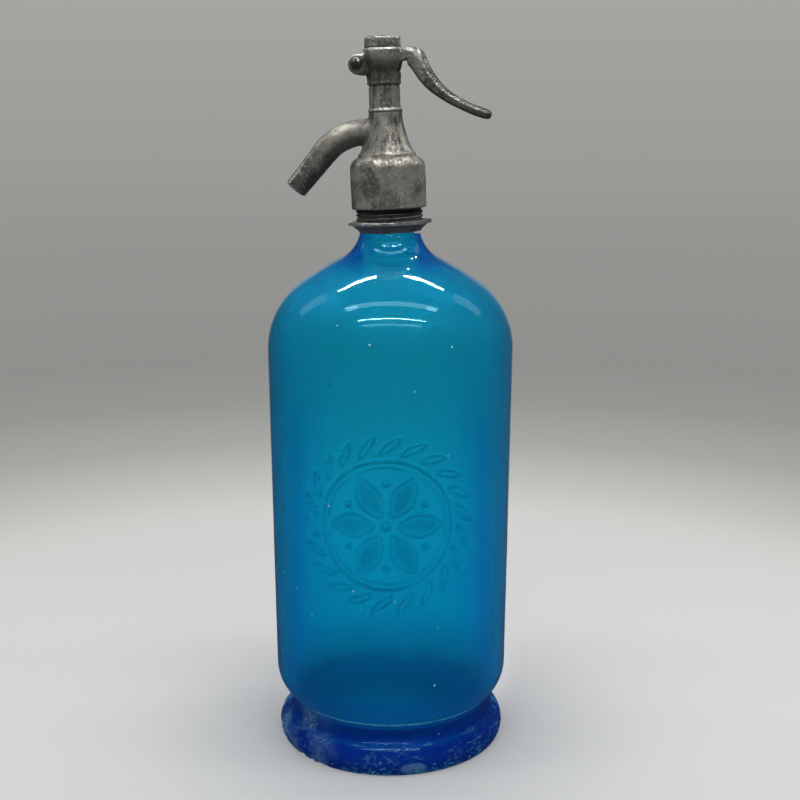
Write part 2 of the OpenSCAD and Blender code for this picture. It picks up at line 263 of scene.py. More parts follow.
def turned_tree():
    """Turns a profile, a row of points at x = radius and z = height, about the Z axis.

    Gather draws the columns together towards the front, where the camera looks.
    """
    tree = Maker("turned", Columns=96, Gather=0.0)
    columns, gather = tree.value("Columns"), tree.value("Gather")
    profile = {"Geometry": tree.geometry}
    rows = tree.add("GeometryNodeAttributeDomainSize", profile, component="MESH")
    grid = tree.add("GeometryNodeMeshGrid", {"Vertices X": columns + 1, "Vertices Y": rows})
    index = tree.add("GeometryNodeInputIndex")
    column = (index / rows + 1e-5).floor()
    row = index - column * rows
    turn = column / columns * math.tau
    angle = turn + gather * turn.sin() + math.pi / 2

    def of_row(kind, value):
        values = {**profile, "Value": value, "Index": row}
        return tree.add("GeometryNodeSampleIndex", values, data_type=kind, domain="POINT")

    radius, _, height = of_row("FLOAT_VECTOR", tree.add("GeometryNodeInputPosition")).xyz()
    skin = of_row("FLOAT", tree.read("skin"))
    turned = tree.point(radius * angle.cos(), radius * angle.sin(), height)
    moved = tree.move(tree.store(grid, "skin", skin), Position=turned)
    values = {"Geometry": moved, "Distance": 0.001 * MM}
    merged = tree.add("GeometryNodeMergeByDistance", values)
    return tree.end(tree.add("GeometryNodeSetShadeSmooth", {"Geometry": merged}))


def line(distance, half_width):
    """A rounded ridge along the line where distance is 0."""
    return abs(distance).fade(half_width, 0.0)


def pressed_glass_tree():
    """Presses a six-petal rosette into the outside of a turned bottle, and ages the glass.

    The rosette stands on the front. Its rings, petals and pearls are raised lines, with a
    wreath of short slanting leaves round them. The foot gets worn edges and chips. The
    attributes chip and slope say where the chips and the sides of the raised lines are.
    Body and Ring are radii, and Shift and Height place the middle of the ring.
    """
    tree = Maker(
        "pressed_glass", Body=51.4, Ring=27.0, Shift=-1.4, Height=109.5, Petals=6, Leaves=22,
        Relief=0.6, Waves=0.2, Chips=1.0,
    )
    place = tree.place()
    x, y, z = place.xyz()
    skin, radius = tree.read("skin"), tree.value("Body")
    across = (x / radius).least(1.0).arcsine() * radius - tree.value("Shift")
    up = z - tree.value("Height")
    away = (across * across + up * up) ** 0.5
    angle = up.arctan2(across)

    ring, half_turn = tree.value("Ring"), math.pi / tree.value("Petals")
    folded = angle.wrap(half_turn, half_turn * -1)
    between = (angle + half_turn).wrap(half_turn, half_turn * -1)
    along, beside = away * folded.cos(), abs(away * folded.sin())
    root, length = 4.0, ring * 0.72
    share = ((along - root) / length).most(0.0).least(1.0)
    width = (share * math.pi).sin() * 4.8
    inside = (along - root).fade(0.0, 1.0) * (along - (length + root)).fade(0.0, -1.0)
    petal = line(beside - width, 0.8) * inside
    dome = (beside - width).fade(0.0, -3.5) * inside * 0.45
    vein = line(beside, 0.5) * along.fade(8.0, 10.0) * along.fade(17.0, 15.0) * 0.7
    pearl_x, pearl_y = away * between.cos() - ring * 0.66, away * between.sin()
    pearl = (pearl_x * pearl_x + pearl_y * pearl_y).fade(3.4, 0.6)
    rings = line(away - ring, 0.9).most(line(away - (ring - 2.6), 0.55) * 0.6)
    centre = away.fade(2.6, 1.4)

    half_leaf = math.pi / tree.value("Leaves")
    leaf_turn = (angle + (away - ring) * 0.03).wrap(half_leaf, half_leaf * -1)
    leaf_run = (away - (ring + 6.2)) / 3.9
    leaf_width = (1.0 - leaf_run * leaf_run).most(0.0) * 2.0
    leaf = line(abs(away * leaf_turn.sin()) - leaf_width, 0.85) * abs(leaf_run).fade(1.08, 0.98)

    uneven = tree.noise(place, 0.07, detail=2.0).fade(0.3, 0.62)
    drawn = rings.most(petal + dome).most(vein).most(pearl).most(centre).most(leaf * 0.9)
    raised = drawn * (uneven * 0.75 + 0.25)
    front = y.fade(0.0, -10.0) * skin
    relief = raised * front * tree.value("Relief")

    walls = z.fade(8.0, 20.0) * z.fade(168.0, 130.0)
    slow = tree.noise(place, (0.016, 0.016, 0.006), detail=1.0) - 0.5
    wave = slow * walls * tree.value("Waves") * (5.0 - skin * 3.0)

    edge = (x * x + y * y).fade(41.0**2, 45.5**2) * skin
    low = z.fade(13.0, 3.0) * edge
    bites = tree.noise(place, 0.085, detail=4.0, roughness=0.55)
    left = (x + y * 0.25).fade(-30.0, -45.0) * z.fade(24.0, 17.0) * skin
    chip = (bites.fade(0.62, 0.7) * low).most(bites.fade(0.42, 0.6) * left)
    rough = tree.noise(place, 0.38) - 0.5
    broken = chip * (rough * 2.2 - 0.35) * tree.value("Chips")
    worn = rough * low * bites.fade(0.5, 0.62) * 0.35
    aged = tree.store(tree.geometry, "chip", chip)
    aged = tree.store(aged, "slope", raised * (1.0 - raised).most(0.0) * 4.0 * front)
    return tree.end(tree.push(aged, relief + wave + worn + broken))


def bubbles_tree():
    """Scatters small gas bubbles through the middle of the glass wall."""
    tree = Maker("bubbles", Seed=3, Density=900.0, Depth=2.6)
    skin, density, seed = tree.read("skin"), tree.value("Density"), tree.value("Seed")
    scattered = tree.add(
        "GeometryNodeDistributePointsOnFaces",
        {"Mesh": tree.geometry, "Density": density, "Seed": seed, "Selection": skin > 0.5},
    )
    ball = tree.add("GeometryNodeMeshIcoSphere", {"Radius": MM, "Subdivisions": 2})
    inward = tree.add("GeometryNodeFlipFaces", {"Mesh": ball})
    size = tree.add("FunctionNodeRandomValue", {"Min": 0.0, "Max": 1.0, "Seed": seed})
    size = size * size * size * 0.42 + 0.13
    depth = tree.stretched(scattered.out("Normal"), tree.value("Depth") * -MM)
    sunk = tree.move(scattered, Offset=depth)
    long_balls = tree.point(size * 0.8, size * 0.8, size * 1.3)
    values = {"Points": sunk, "Instance": inward, "Scale": long_balls}
    return tree.end(tree.add("GeometryNodeInstanceOnPoints", values))


def weathered_tree():
    """Ages a casting: shallow dents, pits and a fine grain, pushed into its surface.

    Dents and Pits are depths in mm, and Pitted is how much of the surface has pits.
    """
    tree = Maker("weathered", Dents=0.1, Pits=0.15, Pitted=0.5, Seed=0.0)
    seed = tree.value("Seed")
    place = tree.vector("ADD", tree.place(), tree.point(seed * 31.0, seed * 17.0, seed * 11.0))
    dents = tree.noise(place, 0.16, detail=2.0) - 0.5
    patch = tree.noise(place, 0.22, detail=2.0).fade(0.62, 0.38)
    holes = tree.noise(place, 0.9, detail=2.0)
    pits = holes.fade(0.6, 0.7) * tree.value("Pitted") * 2.0
    small = tree.noise(place, 2.2, roughness=0.65) - 0.5
    depth = pits * patch * -1.0 + small * 0.28
    height = dents * tree.value("Dents") * 2.0 + depth * tree.value("Pits")
    return tree.end(tree.push(tree.geometry, height))


def chewed_tree():
    """Bites into the upper edge of the plug, where grips have slipped."""
    tree = Maker("chewed", Edge=300.8, Depth=0.8)
    place = tree.place()
    x, y, z = place.xyz()
    height = z + x * math.sin(LEAN)
    top = (height - tree.value("Edge")).fade(-1.6, -0.2)
    bites = tree.noise(place, (0.55, 0.55, 0.25), detail=4.0, roughness=0.65)
    down = bites.fade(0.5, 0.72) * top * tree.value("Depth") * -MM
    out = (bites - 0.45) * top * 0.7 * MM
    radius = (x * x + y * y) ** 0.5 + 0.01
    bitten = tree.point(x / radius * out, y / radius * out, down)
    return tree.end(tree.move(tree.geometry, Offset=bitten))


def thread_tree():
    """One helical ridge: a grid whose length follows the helix and whose width is the ridge."""
    tree = Maker(
        "screw_thread", Root=13.05, Depth=0.945, Pitch=1.65, Turns=2.9, Start=225.9, Steps=260
    )
    rows = 9
    steps, turns = tree.value("Steps"), tree.value("Turns")
    grid = tree.add("GeometryNodeMeshGrid", {"Vertices X": steps, "Vertices Y": rows})
    index = tree.add("GeometryNodeInputIndex")
    step = (index / rows + 1e-4).floor()
    side = (index - step * rows) / (rows - 1.0)
    run = step / (steps - 1)
    angle = run * turns * math.tau
    ends = run.fade(0.0, 0.06) * run.fade(1.0, 0.94)
    crest = (side * math.pi).sin() ** 0.8 * tree.value("Depth") * ends
    radius = tree.value("Root") + crest
    height = tree.value("Start") + (run * turns + side * 0.92) * tree.value("Pitch")
    helix = tree.point(radius * angle.cos(), radius * angle.sin(), height)
    moved = tree.move(grid, Position=tree.stretched(helix, MM))
    return tree.end(tree.add("GeometryNodeSetShadeSmooth", {"Geometry": moved}))


# ---- Meshes


def points_of(mesh, what="co"):
    """The points of a mesh in metres, or their normals."""
    values = np.zeros(len(mesh.vertices) * 3)
    mesh.vertices.foreach_get(what, values)
    return values.reshape(-1, 3)


def move_points(mesh, points):
    mesh.vertices.foreach_set("co", points.ravel())
    mesh.update()


def store(mesh, name, values):
    """Stores a number for each point of the mesh."""
    mesh.attributes.new(name, "FLOAT", "POINT").data.foreach_set("value", values)


def arc(centre, radius, start, end, spacing):
    """Points on an arc, from one angle in degrees to another."""
    count = max(2, math.ceil(abs(math.radians(end - start)) * radius / spacing))
    angles = np.radians(np.linspace(start, end, count + 1))
    return np.c_[centre[0] + radius * np.cos(angles), centre[1] + radius * np.sin(angles)]


def straight(a, b, spacing):
    """Points on a line."""
    count = max(1, math.ceil(math.dist(a, b) / spacing))
    return np.linspace(a, b, count + 1)


def heading(vector):
    """Direction of a vector, in degrees."""
    return math.degrees(math.atan2(vector[1], vector[0]))


def hollow_between(c1, r1, c2, r2, r):
    """Centre of the hollow of radius r that touches two rounds from outside."""
    d = math.dist(c1, c2)
    u = (c2 - c1) / d
    a = ((r1 + r) ** 2 - (r2 + r) ** 2 + d * d) / (2 * d)
    return c1 + a * u + math.sqrt((r1 + r) ** 2 - a * a) * np.array([-u[1], u[0]])


def profile_mesh(name, skin, lining=()):
    """A row of points (radius, height), with repeats left out. skin is the outside's share."""
    points, outer = [], []
    for row, share in ((skin, 1.0), (lining, 0.0)):
        for radius, height in row:
            if not points or math.dist(points[-1], (radius, 0, height)) > 1e-4:
                points.append((float(radius), 0.0, float(height)))
                outer.append(share)
    edges = [(i, i + 1) for i in range(len(points) - 1)]
    mesh = mesh_of(name, points, edges=edges)
    store(mesh, "skin", outer)
    return mesh


def bottle_profile():
    """Outside and inside of the bottle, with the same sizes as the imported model.

    A round is given by its centre (radius, height) and its radius. The slope between shoulder
    and neck is a very wide round here, from 55 to 63 degrees.
    """
    foot_c, foot_r, waist_r = np.array([41.1, 4.8]), 8.5, 5.5
    lower_c, lower_r = np.array([33.2, 33.4]), 17.3
    shoulder_c, shoulder_r, slope_r = np.array([17.5, 173.0]), 34.5, 141
    body_low, body_top, neck, ledge, lip = 50.5, 52, 12.4, 221.4, 240.0
    wall, thin_wall, floor_z, corner = 6.3, 4.2, 16.0, 13.0
    punt_h, ring_width = 7.0, 7
    foot_turn, top_turn = (
        np.array([math.cos(math.radians(turn)), math.sin(math.radians(turn))]) for turn in (55, 63)
    )
    slope_c = shoulder_c + (shoulder_r - slope_r) * foot_turn
    slope_top = slope_c + slope_r * top_turn
    neck_r = (slope_top[0] - neck) / (1 - top_turn[0])
    neck_c = slope_top + neck_r * top_turn
    waist = hollow_between(lower_c, lower_r, foot_c, foot_r, waist_r)
    base_out = foot_c[0] + math.sqrt(foot_r**2 - foot_c[1] ** 2)
    base_in = base_out - ring_width
    punt_r = (base_in**2 + punt_h**2) / (2 * punt_h)
    punt_c = np.array([0, punt_h - punt_r])
    base_turn = -math.degrees(math.asin(foot_c[1] / foot_r))
    ledge_turn = 180 + math.degrees(math.asin((neck_c[1] - ledge) / neck_r))
    skin = np.vstack([
        arc(punt_c, punt_r, 90, heading([base_in, 0] - punt_c), 5),
        straight([base_in, 0], [base_out, 0], 1.4),
        arc(foot_c, foot_r, base_turn, heading(waist - foot_c), 0.6),
        arc(waist, waist_r, heading(foot_c - waist) + 360, heading(lower_c - waist), 0.7),
        arc(lower_c, lower_r, heading(waist - lower_c), 0, 1.1),
        straight([body_low, lower_c[1]], [50.94, 73], 3),
        straight([50.94, 73], [51.71, 147], 0.5),  # fine rows, for the ornament
        straight([51.71, 147], [body_top, shoulder_c[1]], 3.2),
        arc(shoulder_c, shoulder_r, 0, 55, 1.2),
        arc(slope_c, slope_r, 55, 63, 1.2),
        arc(neck_c, neck_r, 243, ledge_turn, 1),
        [[10, ledge], [10, 232.5], [11.2, 232.5], [11.2, lip - 1.5], [10.2, lip]],
    ])
    inside, turn_x = body_low - wall, body_low - wall - corner
    lining = np.vstack([
        [[neck - thin_wall, lip]],
        arc(neck_c, neck_r + thin_wall, 180, 243, 2),
        arc(slope_c, slope_r - thin_wall, 63, 55, 2),
        arc(shoulder_c, shoulder_r - thin_wall, 55, 0, 2.4),
        straight([body_top - thin_wall, shoulder_c[1]], [inside, floor_z + corner], 5),
        arc([turn_x, floor_z + corner], corner, 0, -90, 1.4),
        straight([turn_x, floor_z], [0, floor_z], 4),
    ])
    return profile_mesh("bottle_profile", skin, lining)


def leaned(points, angle=LEAN):
    """Points of an upright head, in millimetres, as the head leans. -LEAN brings them back."""
    points = np.array(points, float)
    x, z = points[:, 0].copy(), points[:, 2] - LEAN_Z
    points[:, 0] = x * math.cos(angle) - z * math.sin(angle)
    points[:, 2] = LEAN_Z + x * math.sin(angle) + z * math.cos(angle)
    return points


def lean(mesh):
    """Leans a mesh that was drawn upright."""
    move_points(mesh, leaned(points_of(mesh) / MM) * MM)


def merged_copy(node):
    """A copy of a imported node's mesh with its loose triangles joined."""
    return joined(node + "_copy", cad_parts[node].data, merge=True)


def joined(name, *meshes, merge=False):
    """One mesh that holds several."""
    made = bmesh.new()
    for mesh in meshes:
        made.from_mesh(mesh)
    if merge:
        bmesh.ops.remove_doubles(made, verts=made.verts, dist=0.001 * MM)
    mesh = bpy.data.meshes.new(name)
    made.to_mesh(mesh)
    made.free()
    return mesh


def neighbours(mesh):
    """The two ends of each edge."""
    edges = np.zeros(len(mesh.edges) * 2, np.int32)
    mesh.edges.foreach_get("vertices", edges)
    return edges.reshape(-1, 2)


def mean_round(values, edges, count):
    """Mean of the neighbours of each point."""
    a, b = edges[:, 0], edges[:, 1]
    number = np.bincount(a, minlength=count) + np.bincount(b, minlength=count)
    sums = [
        np.bincount(a, values[b, k], count) + np.bincount(b, values[a, k], count)
        for k in range(values.shape[1])
    ]
    return np.stack(sums, 1) / np.maximum(number, 1)[:, None]


def soften(mesh, rounds, weights=None):
    """Rounds a mesh off, everywhere or by a weight for each point."""
    points, edges = points_of(mesh), neighbours(mesh)
    weights = 1.0 if weights is None else weights[:, None]
    for _ in range(rounds):
        for pull in (0.6, -0.3):
            points += (mean_round(points, edges, len(points)) - points) * pull * weights
    move_points(mesh, points)


def store_wear(mesh):
    """Stores how far each point stands out, as attribute wear: 1 on edges, 0 in hollows."""
    points, edges = points_of(mesh), neighbours(mesh)
    smooth = points.copy()
    for _ in range(6):
        smooth += (mean_round(smooth, edges, len(points)) - smooth) * 0.7
    stands_out = ((points - smooth) * points_of(mesh, "normal")).sum(1) / MM
    for _ in range(2):
        round_it = mean_round(stands_out[:, None], edges, len(points))[:, 0]
        stands_out = (stands_out + round_it) / 2
    spread = max(np.percentile(np.abs(stands_out), 97), 1e-6)
    store(mesh, "wear", np.clip(0.5 + stands_out / spread * 0.5, 0, 1))


def casting(name, mesh, voxel, rounds, material, melt=None, finish=None, **age):
    """A casting: the mesh with its edges melted soft, then dented and pitted.

    voxel is the grain of the new skin in mm. melt says which points are melted most, and finish
    draws what the new skin rounded off.
    """
    start = new_object(name + "_form", mesh)
    remesh = start.modifiers.new("skin", "REMESH")
    remesh.mode, remesh.voxel_size = "VOXEL", voxel * MM * 1
    form = evaluated(start)
    discard(start)
    if melt:
        soften(form, 30, melt(points_of(form) / MM))
    soften(form, rounds)
    if finish:
        finish(form)
    made = WEATHERED.grow(name, form, material, **age)
    store_wear(made.data)
    made.data.shade_smooth()
    return made


def melt_head(points):
    """Where the casting's corners were filled in: the root of the spout and of the hinge lugs."""
    x, y, z = leaned(points, -LEAN).T
    away = np.hypot(x, y)
    root = (x < -2) * np.clip(1.6 - np.abs(away - 8.6) / 3.2, 0, 1)
    root *= np.clip(1.5 - np.abs(z - 262.5) / 10, 0, 1) * np.clip(1.5 - np.abs(y) / 7, 0, 1)
    lugs = (x < -3) * (z > 284.4) * (z < 296) * np.clip(1.6 - np.abs(away - 8.3) / 1.6, 0, 1)
    return np.clip(np.maximum(root, lugs * 0.6), 0, 1)


HANDLE = [  # middle of the handle: x, z, thickness and width
    (8.9, 293.5, 4.6, 6.3), (11.3, 293.2, 6.6, 6.6), (13.2, 291.9, 8, 7.2),
    (15, 288.9, 7.1, 7.9), (17.3, 284.9, 6.6, 8.8), (20.6, 280.7, 5.6, 9.6),
    (25, 276.7, 4.7, 9.6), (30.8, 273, 4.1, 9.6), (36.4, 270.2, 4, 9.2),
    (40.4, 268.6, 4, 8.4), (42.5, 267.9, 3.5, 7), (43.4, 267.6, 1.8, 4.4),
]


def handle_mesh(rings=150, crown=28):
    """The handle's skin: round on top, with a crease along each side, and flat beneath."""
    stations = np.array(HANDLE)
    angles = np.linspace(0, math.pi, crown)
    section = np.r_[
        np.c_[np.cos(angles), 0.08 + 0.42 * np.sin(angles)],
        [[-1, -0.1], [-1, -0.3], [-0.93, -0.43], [-0.8, -0.5], [-0.4, -0.5], [0, -0.5]],
        [[0.4, -0.5], [0.8, -0.5], [0.93, -0.43], [1, -0.3], [1, -0.1]],
    ]

    def smooth(t):
        """A smooth curve through the stations, at t from 0 to 1."""
        n = len(stations) - 1
        s = min(t * n, n - 1e-6)
        i, f = int(s), s - int(s)
        p0, p1, p2, p3 = (stations[min(max(i + k, 0), n)] for k in (-1, 0, 1, 2))
        return 0.5 * (2 * p1 + (p2 - p0) * f + (2 * p0 - 5 * p1 + 4 * p2 - p3) * f**2
                      + (3 * p1 - p0 - 3 * p2 + p3) * f**3)

    points, faces, count = [], [], len(section)
    for i in range(rings + 1):
        t = i / rings
        x, z, thick, wide = smooth(t)
        along = (smooth(min(t + 0.01, 1)) - smooth(max(t - 0.01, 0)))[:2]
        up = np.array([-along[1], along[0]]) / np.linalg.norm(along)
        for side, rise in section:
            points.append((x + up[0] * rise * thick, -side * wide / 2, z + up[1] * rise * thick))
    for i in range(rings):
        for j in range(count):
            a, b = i * count + j, i * count + (j + 1) % count
            faces.append((a, b, b + count, a + count))
    faces.append(tuple(range(count - 1, -1, -1)))
    faces.append(tuple(rings * count + j for j in range(count)))
    return mesh_of("handle", leaned(points), faces)


# ---- Materials


def emptied(owner):
    """The node tree of a material or a world, with nothing in it."""
    owner.use_nodes = True
    owner.node_tree.nodes.clear()
    return Nodes(owner.node_tree)


def paint(name, surface, *numbers, volume=None, **settings):
    """A material whose surface is the shader that surface makes from these numbers."""
    material = bpy.data.materials.new(name)
    nodes = emptied(material)
    links = {"Surface": surface(nodes, *numbers, **settings)}
    if volume:
        links["Volume"] = volume(nodes)
    nodes.add("ShaderNodeOutputMaterial", links)
    return material


def principled(nodes, **values):
    named = {name.replace("_", " "): value for name, value in values.items()}
    return nodes.add("ShaderNodeBsdfPrincipled", named)


def bump(nodes, height, depth):
    """A bump whose height is in millimetres when depth is 1."""
    values = {"Height": height, "Distance": depth * MM, "Strength": 1.0}
    return nodes.add("ShaderNodeBump", values)


def object_place(nodes):
    """Place on the object in millimetres."""
    coordinates = nodes.add("ShaderNodeTexCoord").out("Object")
    return nodes.stretched(coordinates, 1 / MM)


def stored(nodes, name):
    return nodes.add("ShaderNodeAttribute", attribute_name=name).out("Fac")


EDGE_LIGHT_Z = 21.3  # height of a painted pale line of light, along the body's lower edge above the foot


def blue_glass_surface(nodes):
    """Clear, slightly uneven glass, hazy inside, and pale where the foot is chipped and scuffed."""
    place = object_place(nodes)
    x, y, z = place.xyz()
    across = x * math.cos(VIEW) + y * math.sin(VIEW)
    chip, skin, slope = (stored(nodes, name) for name in ("chip", "skin", "slope"))

    # Marks: nicks and scuffs on the foot, specks of dust and a pane that was rubbed, and a painted
    # line of light along the edge above the foot
    low = z.fade(15.0, 7.0) * skin
    grain = nodes.noise(place, 1.4, detail=5.0, roughness=0.62)
    cluster = nodes.noise(place, 0.07, detail=2.0)
    scratches = nodes.noise(place, (0.3, 0.3, 0.8), detail=4.0)
    nicks = nodes.noise(place, 0.8, roughness=0.6).fade(0.58, 0.62)
    nicks = nicks * cluster.fade(0.5, 0.58) * z.fade(13.0, 6.0)
    specks = nodes.cells(place, 0.13).fade(0.06, 0.035) * grain.fade(0.42, 0.5)
    # Painted highlight: a pale line along the edge where the body meets the foot
    edge_light = line(z - (EDGE_LIGHT_Z + (grain - 0.5) * 1.8), 0.95) * scratches.fade(0.3, 0.5) * skin
    scuffs = scratches.fade(0.6, 0.68) * low * cluster.fade(0.44, 0.54)
    pane_x, pane_z = (across - 9.5) / 5.5, (z - 3.4) / 2.4
    pane = (pane_x * pane_x + pane_z * pane_z + (grain - 0.5) * 2.4).fade(1.3, 0.5)
    pane = pane * (y < 0.0) * skin
    worn = z.fade(9.6, 8.4) * skin
    frost = chip.most(scuffs * 0.8).most(nicks * skin).most(specks * skin).most(edge_light * 0.9)

    # Painted shade: where the camera sees the body's sides and the neck's edges, and low on the
    # body, the glass is tinted bluer and darker. Near the foot, where the glass is thick, it is
    # bluer too
    thick = abs(abs(across) - (37.0 + (130.0 - z) * 0.03)).fade(6.0, 0.5) * z.fade(172.0, 130.0)
    neck = abs(across).fade(9.0, 13.0) * z.fade(204.0, 213.0)
    below = z.fade(104.0, 84.0) * z.fade(22.0, 34.0)
    tint = nodes.mix(below, (0.85, 0.985, 0.99), (0.8, 0.935, 0.94))
    tint = nodes.mix((thick * 0.85).most(z.fade(40.0, 30.0) * 0.4), tint, (0.4, 0.72, 0.94))
    tint = nodes.mix(neck, tint, (0.15, 0.42, 0.86))
    clear = principled(
        nodes,
        # Painted shade: the sides of the raised lines (slope) tint the glass darker
        Base_Color=nodes.mix(slope.least(1.0), tint, (0.3, 0.55, 0.6)),
        Roughness=(frost * 0.3 + (1.0 - skin) * 0.26 + worn * 0.22 + 0.03).least(0.6),
        IOR=1.5,
        Transmission_Weight=1.0,
        Specular_IOR_Level=0.22,
        Specular_Tint=(0.35, 0.85, 1.0),
        Normal=bump(nodes, grain * frost, 0.4),
    )

    # What light scatters back from: the deep blue foot, marks, the inside, and a painted sheen on
    # the shoulder
    deep = nodes.mix(z.fade(10.0, 24.0), (0.0, 0.02, 0.26), (0.0, 0.1, 0.4))
    deep = nodes.mix(z.fade(60.0, 150.0), deep, (0.03, 0.55, 0.9))
    rubbed = frost * grain.fade(0.45, 0.56)
    blue = nodes.mix((rubbed * 0.9).most(pane * 0.45), deep, (0.2, 0.43, 0.66))
    # Painted highlight: the pale colour of the line above the foot
    pale = nodes.mix(edge_light, blue, (0.18, 0.58, 0.62))
    scuffed = principled(
        nodes,
        Base_Color=nodes.mix((1.0 - skin).most(specks).least(1.0), pale, (0.8, 0.9, 0.95)),
        Roughness=0.5,
        Specular_IOR_Level=0.02,
        Normal=bump(nodes, grain * frost, 0.5),
    )
    foot = z.fade(40.0, 17.0) * skin
    # Painted sheen: a faint pale scatter on the shoulder
    shoulder_sheen = z.fade(178.0, 194.0) * z.fade(214.0, 202.0) * skin
    shoulder_sheen = shoulder_sheen * nodes.noise(place, 0.045, detail=2.0).fade(0.3, 0.65)
    share = (rubbed * 0.75).most(specks * 0.8).most(edge_light * 0.85)
    share = share.most((1.0 - skin) * 0.14).most(foot * 0.55).most(shoulder_sheen * 0.08)
    return nodes.add("ShaderNodeMixShader", {0: share, 1: clear, 2: scuffed})


def blue_glass_body(nodes):
    """What the glass takes out of the light on its way through it."""
    values = {"Color": (0.0, 0.877, 0.974), "Density": 480.0}
    return nodes.add("ShaderNodeVolumeAbsorption", values)


def tube_glass_surface(nodes):
    haze = nodes.noise(object_place(nodes), 0.3, detail=4.0)
    return principled(
        nodes,
        Base_Color=nodes.mix(haze, (0.9, 0.95, 0.97), (0.97, 0.99, 1.0)),
        Roughness=haze * 0.04,
        IOR=1.03,
        Transmission_Weight=1.0,
    )


def old_metal(nodes, dark, light, shine, grime=0.8, pitted=0.6, streaked=(), tones=()):
    """Surface of an old alloy casting: blotched, worn bright on its edges, and painted darker
    underneath as shade.

    pitted is lower where there are more pits. streaked is a height in mm and a reach from the
    axis: the casting is streaked for 30 mm above that height, and battered just below it. tones
    are heights in mm with how light the metal is there, from 0 to 1: painted light and shade.
    """
    place = object_place(nodes)
    x, y, z = place.xyz()
    away_squared = x * x + y * y
    _, _, rise = nodes.add("ShaderNodeTexCoord").out("Normal").xyz()
    wear = stored(nodes, "wear")
    patch = nodes.noise(place, 0.13, roughness=0.55)
    speck = nodes.noise(place, 0.8, detail=4.0, roughness=0.65)
    holes = nodes.noise(place, 0.9, detail=2.0)
    flecks = nodes.noise(place, 1.9, detail=2.0, roughness=0.6).fade(0.59, 0.64)
    pits = (holes.fade(pitted, pitted + 0.06) * patch.fade(0.46, 0.58)).most(flecks * 0.8)
    stains = nodes.noise(place, 0.07, roughness=0.6).fade(0.47, 0.53)
    mottle = patch * 0.9 + speck * 0.6 + stains * 0.24 - 0.37
    if streaked:
        streaks = nodes.noise(place, (0.75, 0.75, 0.07), roughness=0.55)
        height, reach = streaked
        there = z.fade(height - 5.0, height + 3.0) * z.fade(height + 31.0, height + 27.0)
        there = there * away_squared.fade(reach**2 * 1.4, reach**2)
        mottle = mottle + (streaks - 0.5) * (there * 1.5 + 0.3)
        battered = z.fade(height - 9.0, height - 7.0) * z.fade(height - 3.6, height - 4.6)
        pits = pits.most(holes.fade(0.53, 0.58) * battered * 0.85)
    base = nodes.mix(mottle.fade(0.2, 0.8), dark, light)
    bare = holes.fade(0.42, 0.36) * speck.fade(0.4, 0.56) * 0.8
    worn = (wear.fade(0.58, 0.95) * speck.fade(0.35, 0.6)).most(bare)
    bright = nodes.mix(worn, base, tuple(min(1.0, c * 1.4) for c in light))
    if tones:
        # Painted light and shade: the metal made lighter or darker by height
        shade = nodes.ramp(z, [(at, (share,) * 3) for at, share in tones])
        bright = nodes.mix(1.0, bright, shade, blend_type="MULTIPLY")
    # Painted shade: surfaces that face down, and the root of the spout against the column, are made
    # dark
    under = rise.fade(0.3, -0.4) * 0.85
    root = x.fade(-19.0, -11.0) * away_squared.fade(50.0, 64.0)  # of the spout
    root = root * (x < 0.0) * z.fade(250.0, 256.0) * z.fade(275.0, 268.0) * 0.6
    dirt_and_shade = (wear.fade(0.42, 0.1).most(pits * 0.85) * grime).most(under).most(root).least(1.0)
    return principled(
        nodes,
        Base_Color=nodes.mix(dirt_and_shade, bright, (0.022, 0.021, 0.019)),
        Metallic=1.0 - dirt_and_shade * 0.6,
        Roughness=(shine + patch * 0.2 + dirt_and_shade * 0.25 - worn * 0.08).least(1.0),
        Normal=bump(nodes, mottle * 0.7 - pits * 0.4, 0.13),
    )


def plain_metal(nodes, colour, shine):
    """Turned metal with fine rings round its axis."""
    place = object_place(nodes)
    rings = nodes.noise(place, (0.2, 0.2, 7.0))
    patch = nodes.noise(place, 0.4, detail=4.0)
    dull = tuple(c * 0.45 for c in colour)
    return principled(
        nodes,
        Base_Color=nodes.mix(patch.fade(0.3, 0.7), dull, colour),
        Metallic=1.0,
        Roughness=rings * 0.2 + shine,
        Normal=bump(nodes, rings, 0.03),
    )


def soft_stuff(nodes, dark, light, grain):
    """Rubber or leather: a fine grain and uneven colour."""
    fine = nodes.noise(object_place(nodes), grain, detail=5.0)
    return principled(
        nodes,
        Base_Color=nodes.mix(fine.fade(0.3, 0.7), dark, light),
        Roughness=fine * 0.25 + 0.6,
        Normal=bump(nodes, fine, 0.08),
    )


BLUE_GLASS = paint("blue_glass", blue_glass_surface, volume=blue_glass_body)
TUBE_GLASS = paint("clear_glass", tube_glass_surface)
# Painted light and shade on the head and plug: height in mm, and how light the metal is made there
HEAD_LIGHT_AND_SHADE = [
    (230, 0.96), (246, 0.96), (252, 0.78), (262, 0.8), (272, 0.86), (281, 0.8), (284, 0.5),
    (290.5, 0.4), (293, 0.75), (299.6, 1.0), (301, 0.4),
]
# Painted shade: the lever is made darker towards its tip
LEVER_SHADE = [(266, 0.2), (270, 0.3), (277, 0.62), (285, 0.88), (296, 0.95)]
